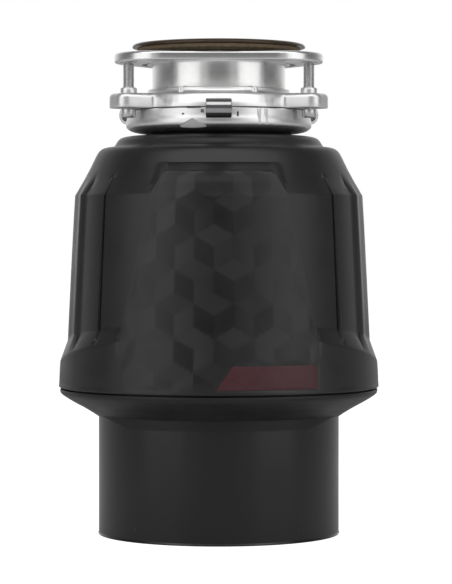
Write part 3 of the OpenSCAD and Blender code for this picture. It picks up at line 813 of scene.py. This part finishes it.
def lathe_at(prof, cx, cy, n=40):
    """solid of revolution about a vertical axis; prof open list (r, z) from axis to axis."""
    verts, faces = [], []
    m = len(prof)
    for i in range(n):
        a = 2 * math.pi * i / n
        for r, z in prof:
            verts.append((cx + r * math.cos(a), cy + r * math.sin(a), z))
    for i in range(n):
        k = (i + 1) % n
        for j in range(m - 1):
            faces.append((i * m + j, k * m + j, k * m + j + 1, i * m + j + 1))
    faces.append(tuple(i * m for i in range(n))[::-1])
    faces.append(tuple(i * m + m - 1 for i in range(n)))
    return verts, faces


def bm_object(name, bm, mat):
    me = bpy.data.meshes.new(name)
    bm.to_mesh(me)
    bm.free()
    o = bpy.data.objects.new(name, me)
    bpy.context.scene.collection.objects.link(o)
    me.materials.append(mat)
    return o


def box_bm(bm, x0, x1, y0, y1, z0, z1, rot=0.0, r=0.0):
    vs = [(x, y, z) for x in (x0, x1) for y in (y0, y1) for z in (z0, z1)]
    c, s = math.cos(D(rot)), math.sin(D(rot))
    vs = [(x * c - y * s, x * s + y * c, z) for x, y, z in vs]
    f = [(0, 1, 3, 2), (4, 6, 7, 5), (0, 4, 5, 1), (2, 3, 7, 6), (0, 2, 6, 4), (1, 5, 7, 3)]
    add_mesh(bm, vs, f)


# sink flange: deep cup with a rolled brim
tube_mesh("sink_flange_pressing", [
    (42.0, 272.8), (42.4, 272.3 + 0.5), (43.3, 272.8), (43.6, 273.2), (43.6, 280.5), (43.5, 280.7), (43.0, 280.8), (43.0, 283.8), (43.5, 283.9), (43.6, 284.1),
    (43.6, 300), (43.6, 317.2), (43.8, 318.0), (44.6, 318.25), (50, 318.25), (56.0, 318.25), (56.6, 318.5), (56.75, 318.9), (56.7, 319.4), (56.3, 320.0), (55.4, 320.6),
    (54.2, 320.9), (52.2, 321.1), (50.4, 321.08), (48.8, 321.0), (47.2, 320.75), (46, 320.4), (45.0, 319.95), (44.2, 319.4), (43.5, 318.65), (42.9, 317.8),
    (42.4, 316.6), (42.2, 315.4), (42.05, 314), (42, 312.5), (42, 290)], "sink_flange", "polished_steel", "sink_mount", 240, BRIM_PAINTED_REFLECTION)
tube_mesh("sink_gasket", [
    (44.0, 314.0), (44.1, 313.84), (51.0, 313.84), (51.5, 314.1), (51.8, 314.6), (52.3, 315.6), (52.2, 315.95), (52.5, 316.2), (53.4, 317.4), (53.5, 317.9), (53.2, 318.15),
    (44.1, 318.15), (44.0, 318.0)], "fiber_gasket", "fiber", "sink_mount", 200, FIBRE_PAINTED_LIGHT, 28)
tube_mesh("neck_bellows", [
    (43.75, 257.7), (45.2, 257.7), (45.6, 258.1), (45.6, 258.7), (45.25, 259.1), (45.1, 259.6), (45.25, 260.1), (45.6, 260.4), (45.6, 260.8), (45.25, 261.2),
    (45.1, 261.7), (45.25, 262.2), (45.6, 262.5), (45.6, 263.0), (45.3, 263.25), (43.75, 263.25)], "neck_boot", "black_rubber", "disposer", 160)

# back-up flange
pts = [(106 * math.sin(D(az)), -106 * math.cos(D(az)), 33.0, 0.0) for az in (-60, 60, 180)]
path = resample(fillet_path(pts, 60), 1.3)
vf = plate(path, [(307.0, 1.7), (307.12, 1.0), (307.45, 0.42), (307.95, 0.1), (308.5, 0), (311.6, 0), (312.3, 0.15), (312.9, 0.55), (313.35, 1.2), (313.6, 2.1)],
           [(52.2, 313.6), (51.6, 313.62), (51.4, 313.78), (51.0, 313.8), (44.4, 313.8), (44.1, 313.5), (44.1, 307.3), (44.4, 307.0),
            (46.8, 307.0), (47.2, 307.4), (47.3, 310.6), (48.0, 311.1), (49.6, 311.1), (50.3, 310.6), (50.4, 307.5), (50.9, 307.0)])
bm = bmesh.new()
add_mesh(bm, *vf)
backup = bm_object("backup_flange_casting", bm, MATS["cast_zinc"])
recalc(backup)
bm = bmesh.new()
for az in (-60, 60, 180):
    a, b = ear_frame(az)
    add_mesh(bm, *lathe_at([(5.2, 306.0), (5.2, 308.2), (4.6, 308.6), (0.6, 308.6)], a.x * 67, a.y * 67, 48))
cut = bm_object("cut", bm, MATS["cast_zinc"])
recalc(cut)


def carve(o, cutter):
    md = o.modifiers.new("cut", "BOOLEAN")
    md.object = cutter
    md.operation = "DIFFERENCE"
    md.solver = "EXACT"
    dg = bpy.context.evaluated_depsgraph_get()
    me = bpy.data.meshes.new_from_object(o.evaluated_get(dg))
    o.modifiers.clear()
    o.data = me
    bpy.data.objects.remove(cutter)


carve(backup, cut)
finish_piece(backup, "sink_mount", "backup_flange", 30)

# upper mounting ring
pts = []
for az in (-60, 60, 180):
    a, b = ear_frame(az)
    for off, R, r in ((-13.9, 56.5, 3.0), (-10.0, 77.9, 7.2), (10.0, 77.9, 7.2), (13.9, 56.5, 3.0)):
        p = a * R + b * off
        pts.append((p.x, p.y, r, 0.0))
    for k in range(21):
        t = az + lerp(16.6, 103.4, k / 20)
        w = smooth(min(k, 20 - k) / 3)
        pts.append((57.6 * math.sin(D(t)), -57.6 * math.cos(D(t)), 0, w))
path = resample(fillet_path(pts, 10), 1.3)


def ring_flare(z):
    return 2.2 * (1 - smooth((z - 277.2) / 8.2))


vf = plate(path, [(277.45, 1.1), (277.55, 0.55), (277.85, 0.15), (278.3, 0), (281, 0), (283.6, 0), (284.6, 0.12), (285.4, 0.4), (286.1, 0.9), (286.6, 1.55), (286.9, 2.3), (287.0, 3.2)],
           [(50.5, 287.0), (49.2, 287.1), (48.2, 287.4), (47.3, 288.0), (46.7, 288.8), (46.5, 289.7), (46.3, 290.6), (45.8, 290.95), (45.0, 290.95), (44.5, 290.6),
            (44.3, 290.0), (44.3, 284.3), (44.6, 284.0), (49.2, 284.0), (49.2, 270.3), (49.5, 270.0), (50.9, 270.0), (51.2, 270.3), (51.2, 283.4), (51.6, 284.0), (54.2, 284.0), (54.8, 283.4), (54.8, 277.7), (55.0, 277.45)], ring_flare)
bm = bmesh.new()
add_mesh(bm, *vf)
upper = bm_object("upper_ring_casting", bm, RING)
recalc(upper)
bm = bmesh.new()
for az in (-60, 60, 180):
    a, b = ear_frame(az)
    add_mesh(bm, *lathe_at([(3.78, 270.0), (3.78, 295.0)], a.x * 67, a.y * 67, 40))
cut = bm_object("cut", bm, MATS["cast_zinc"])
recalc(cut)
carve(upper, cut)
bm = bmesh.new()
bm.from_mesh(upper.data)


def hollow_boss(r0, z0, z1, cx, cy, ri):
    v, f = revolve([(ri, z0), (r0, z0), (r0, z1 - 0.8), (r0 - 0.25, z1 - 0.3), (r0 - 0.8, z1), (ri + 0.5, z1), (ri, z1 - 0.4)], 40)
    return [(x + cx, y + cy, z) for x, y, z in v], f


for az in (-60, 60, 180):
    a, b = ear_frame(az)
    add_mesh(bm, *hollow_boss(5.3, 286.9, 290.7, a.x * 67, a.y * 67, 3.8))
for x in (-24.4, 23.0):
    y = -math.sqrt(46.6 ** 2 - x * x)
    add_mesh(bm, *lathe_at([(0.2, 286.6), (2.4, 286.9), (2.1, 287.6), (2.0, 290.4), (1.8, 291.0), (1.3, 291.3), (0.2, 291.35)], x, y, 28))
# sloping strips under the band
for a0 in (40, 160, 280):
    n = 26
    v, f = [], []
    for i in range(n + 1):
        ang = lerp(-6, 46, i / n)
        zt = 271.9 - 3.0 / 35 * (ang - 22)
        c, s = math.cos(D(ang + a0)), math.sin(D(ang + a0))
        for r, z in ((51.1, zt - 1.5), (55.6, zt - 1.5), (55.8, zt - 1.3), (55.8, zt - 0.2), (55.6, zt), (51.1, zt)):
            v.append((r * c, r * s, z))
    for i in range(n):
        for j in range(6):
            l = (j + 1) % 6
            f.append((i * 6 + j, i * 6 + 6 + j, i * 6 + 6 + l, i * 6 + l))
    f.append(tuple(range(6)))
    f.append(tuple(n * 6 + j for j in range(6))[::-1])
    add_mesh(bm, v, f)
bm.to_mesh(upper.data)
bm.free()
finish_piece(upper, "sink_mount", "upper_mounting_ring", 30)

# lower mounting ring: pressed band with a rolled underside
v, f = revolve([
    (59.4, 277.0), (58.7, 277.1), (58.3, 276.8), (58.3, 268.8), (58.1, 267.6), (57.4, 266.2), (56.2, 264.9), (54.8, 263.95), (53.4, 263.35), (51, 263.3), (48.7, 263.3), (48.4, 263.0),
    (48.4, 262.6), (48.7, 262.4), (53.0, 262.7), (55.8, 263.3), (57.8, 264.0), (59.2, 264.85), (60.2, 265.8), (60.8, 266.9), (60.95, 268.2), (60.9, 269.8), (60.6, 270.8), (60.3, 271.8), (60.05, 273), (60.0, 275.8), (59.85, 276.6)], 288)
lower = new_obj("lower_ring_pressing", v, f, MATS["spring_steel"])
recalc(lower)
bm = bmesh.new()
for a0 in (0, 120, 240):
    # V notch in the rolled edge: prism pushed in from outside
    ang = -16.0 + a0
    vv = []
    for deep in (True, False):
        for x, z in ((-8.6, 265.6), (0.0, 270.2), (8.6, 265.6), (8.6, 260.5), (-8.6, 260.5)):
            c, s = math.cos(D(ang)), math.sin(D(ang))
            y = lerp(-56.6, -60.2, (z - 260.5) / 9.7) if deep else -70.0
            vv.append((x * c - y * s, x * s + y * c, z))
    ff = [tuple(range(5)), tuple(range(9, 4, -1))] + [(j, 5 + j, 5 + (j + 1) % 5, (j + 1) % 5) for j in range(5)]
    add_mesh(bm, vv, ff)
    # slits and small slots
    box_bm(bm, -9.4, 0.0, -70, -57, 276.3, 278.0, a0 - 10.8)
    box_bm(bm, -1.0, 1.0, -70, -57, 273.6, 275.8, a0 - 10.0)
    box_bm(bm, -0.8, 0.8, -70, -57, 272.4, 273.4, a0 - 22.2)
    box_bm(bm, -0.55, 0.55, -70, -57, 271.2, 274.2, a0 + 11.6)
cut = bm_object("cut", bm, MATS["cast_zinc"])
recalc(cut)
carve(lower, cut)
bm = bmesh.new()
bm.from_mesh(lower.data)


def wrench_tube(bm, a0):
    n = 44
    prof = [(4.1, -7.7), (4.5, -8.2), (5.7, -8.2), (6.2, -7.8), (6.2, 7.8), (5.7, 8.2), (4.5, 8.2), (4.1, 7.7)]
    v = []
    c, s = math.cos(D(a0)), math.sin(D(a0))
    for i in range(n):
        t = 2 * math.pi * i / n
        for r, x in prof:
            y, z = -66.1 + r * math.cos(t), 276.0 + r * math.sin(t)
            v.append((x * c - y * s, x * s + y * c, z))
    m = len(prof)
    f = []
    for i in range(n):
        k = (i + 1) % n
        for j in range(m):
            l = (j + 1) % m
            f.append((i * m + j, k * m + j, k * m + l, i * m + l))
    add_mesh(bm, v, f)


for a0 in (0, 120, 240):
    k0 = len(bm.faces)
    wrench_tube(bm, a0)
    bm.faces.ensure_lookup_table()
    for q in range(k0, len(bm.faces)):
        bm.faces[q].material_index = 1
    # web that carries the tube
    box_bm(bm, -8.1, 8.1, -65.4, -59.2, 270.2, 271.4, a0)
    box_bm(bm, -8.1, 8.1, -60.9, -59.2, 270.4, 276.8, a0)
for a0 in (40, 160, 280):
    n = 8
    v, f = [], []
    for i in range(n + 1):
        ang = lerp(-0.5, 10.5, i / n) + a0
        c, s = math.cos(D(ang)), math.sin(D(ang))
        for r, z in ((52.2, 274.2), (58.6, 274.2), (58.6, 275.8), (52.2, 275.8), (52.0, 275.5), (52.0, 274.5)):
            v.append((r * c, r * s, z))
    for i in range(n):
        for j in range(6):
            l = (j + 1) % 6
            f.append((i * 6 + j, i * 6 + 6 + j, i * 6 + 6 + l, i * 6 + l))
    f.append(tuple(range(6)))
    f.append(tuple(n * 6 + j for j in range(6))[::-1])
    add_mesh(bm, v, f)
# rolled ends of the band, side by side
for x in (25.6, 30.2):
    y = -math.sqrt(60.0 ** 2 - x * x)
    add_mesh(bm, *lathe_at([(0.1, 265.9), (0.9, 266.2), (1.15, 266.9), (1.15, 275.9), (0.9, 276.6), (0.1, 276.8)], x, y, 20))
bm.to_mesh(lower.data)
bm.free()
lower.data.materials.append(metal("drawn_tube_steel", (0.46, 0.46, 0.47), 0.16, 0.03, "cast", 1400, 0.05, 0.00001))
finish_piece(lower, "lock_ring", "lower_mounting_ring", 30)


# mounting screws with a real helical thread
def screw_mesh(bm, cx, cy):
    n = 36
    R = 3.68
    z0, z1, pitch = 290.9, 305.4, 1.1
    steps = 10
    rows = []
    for z, r in ((271.5, 0.3), (271.5, 3.9), (271.7, 4.35), (272.1, 4.6), (276.6, 4.6), (276.95, 4.3), (277.0, 3.7), (277.2, 3.62), (284, 3.62), (290.2, 3.62), (290.9, 3.66)):
        rows.append(("c", z, r))
    k = int((z1 - z0) / pitch * steps)
    for i in range(1, k + 1):
        rows.append(("t", z0 + i * pitch / steps, R))
    for z, r in ((305.7, 3.2), (306.1, 2.9), (306.5, 2.6), (306.6, 0.3)):
        rows.append(("c", z, r))
    verts, faces = [], []
    for kind, z, r in rows:
        for i in range(n):
            a = 2 * math.pi * i / n
            rr = r
            if kind == "t":
                ph = ((z - z0) / pitch - i / n) % 1.0
                tri = abs(ph * 2 - 1)
                ease = min(1.0, (z - z0) / 0.8, max(0.0, (z1 + 0.3 - z) / 0.6))
                rr = r - 0.62 * ease * smooth(1 - tri * 1.05 if tri < 0.95 else 0.0)
            verts.append((cx + rr * math.cos(a), cy + rr * math.sin(a), z))
    m = len(rows)
    for j in range(m - 1):
        for i in range(n):
            k2 = (i + 1) % n
            faces.append((j * n + i, j * n + k2, (j + 1) * n + k2, (j + 1) * n + i))
    faces.append(tuple(range(n))[::-1])
    faces.append(tuple((m - 1) * n + i for i in range(n)))
    add_mesh(bm, verts, faces)


for nm, az, bd in (("l", -60, "screw_left"), ("r", 60, "screw_right"), ("b", 180, "screw_back")):
    a, b = ear_frame(az)
    bm = bmesh.new()
    screw_mesh(bm, a.x * 67, a.y * 67)
    o = bm_object("mounting_screw_turned_" + nm, bm, MATS["zinc_steel"])
    recalc(o)
    bm = bmesh.new()
    box_bm(bm, a.x * 67 - 7, a.x * 67 + 7, a.y * 67 - 0.8, a.y * 67 + 0.8, 270.5, 273.1)
    cut = bm_object("cut", bm, MATS["zinc_steel"])
    recalc(cut)
    carve(o, cut)
    finish_piece(o, bd, "mounting_screw_" + nm, 36)


# ---------------------------------------------------------------- stage, light, camera
def area(name, loc, target, w, h, radiance, col=(1, 1, 1)):
    li = bpy.data.lights.new(name, "AREA")
    li.shape = "RECTANGLE"
    li.size, li.size_y = w, h
    li.energy = radiance * math.pi * w * h
    li.color = col
    o = bpy.data.objects.new(name, li)
    bpy.context.scene.collection.objects.link(o)
    o.location = loc
    d = Vector(target) - Vector(loc)
    o.rotation_euler = d.to_track_quat("-Z", "Y").to_euler()
    return o


def polar(az, dist, z):
    return (dist * math.sin(D(az)), -dist * math.cos(D(az)), z)


area("soft_left", polar(-53, 1.7, 0.42), (0, 0, 0.2), 1.32, 1.5, 0.98)
area("soft_right", polar(54, 1.7, 0.42), (0, 0, 0.2), 1.30, 1.5, 1.0)
area("fill_left", polar(-23, 1.9, 0.42), (0, 0, 0.2), 0.36, 1.5, 0.32)
area("fill_right", polar(23, 1.9, 0.42), (0, 0, 0.2), 0.34, 1.5, 0.28)
area("soft_top", (0, -1.15, 1.85), (0, 0, 0.2), 4.2, 1.3, 1.5)

w = bpy.data.worlds.new("studio")
bpy.context.scene.world = w
w.use_nodes = True
nt = w.node_tree
bg = nt.nodes["Background"]
tc = nt.nodes.new("ShaderNodeTexCoord")
sep = nt.nodes.new("ShaderNodeSeparateXYZ")
nt.links.new(tc.outputs["Generated"], sep.inputs[0])
mr = nt.nodes.new("ShaderNodeMapRange")
mr.inputs["From Min"].default_value = -1
mr.inputs["From Max"].default_value = 1
nt.links.new(sep.outputs["Y"], mr.inputs["Value"])
cr = nt.nodes.new("ShaderNodeValToRGB")
el = cr.color_ramp.elements
for p in (0.45, 0.62, 0.75, 0.93):
    el.new(p)
for e, (p, c) in zip(el, [(0, 0.16), (0.55, 0.15), (0.67, 0.18), (0.82, 0.42), (0.95, 0.87), (1.0, 1.0)]):
    e.position = p
    e.color = (c, c, c, 1)
nt.links.new(mr.outputs["Result"], cr.inputs["Fac"])
mixw = nt.nodes.new("ShaderNodeMix")
mixw.data_type = "RGBA"
lp = nt.nodes.new("ShaderNodeLightPath")
nt.links.new(lp.outputs["Is Camera Ray"], mixw.inputs["Factor"])
nt.links.new(cr.outputs["Color"], mixw.inputs["A"])
mixw.inputs["B"].default_value = (1, 1, 1, 1)
nt.links.new(mixw.outputs["Result"], bg.inputs["Color"])
bg.inputs["Strength"].default_value = 1.0

# floor
bpy.ops.mesh.primitive_circle_add(vertices=128, radius=9, fill_type="NGON", location=(0, 0, 0))
floor = bpy.context.object
floor.name = "studio_floor"
fm, fnt, fb = mat_new("pale_floor")
fb.inputs["Base Color"].default_value = (0.86, 0.86, 0.86, 1)
fb.inputs["Roughness"].default_value = 0.9
fb.inputs["Specular IOR Level"].default_value = 0.0
fb.inputs["Emission Color"].default_value = (1, 1, 1, 1)
fb.inputs["Emission Strength"].default_value = 0.38
fn = noise_tex(fnt, coords(fnt), 8, 3)
fnt.links.new(ramp(fnt, fn, [(0.3, 0.50), (0.7, 0.54)]), fb.inputs["Base Color"])
flp = node(fnt, "ShaderNodeLightPath")
fmx = node(fnt, "ShaderNodeMix")
fmx.inputs["A"].default_value = 0.16
fmx.inputs["B"].default_value = 0.93
fnt.links.new(flp.outputs["Is Camera Ray"], fmx.inputs["Factor"])
fnt.links.new(fmx.outputs["Result"], fb.inputs["Emission Strength"])
floor.data.materials.append(fm)

cam = bpy.data.cameras.new("camera")
cam.sensor_width = 36
cam.lens = 158.4
cam.clip_start = 0.05
co = bpy.data.objects.new("camera", cam)
bpy.context.scene.collection.objects.link(co)
co.location = (0, -1.690, 0.194)
co.rotation_euler = (D(90 - 1.204), 0, D(-0.1605))
bpy.context.scene.camera = co
bpy.context.scene.view_settings.view_transform = "Standard"
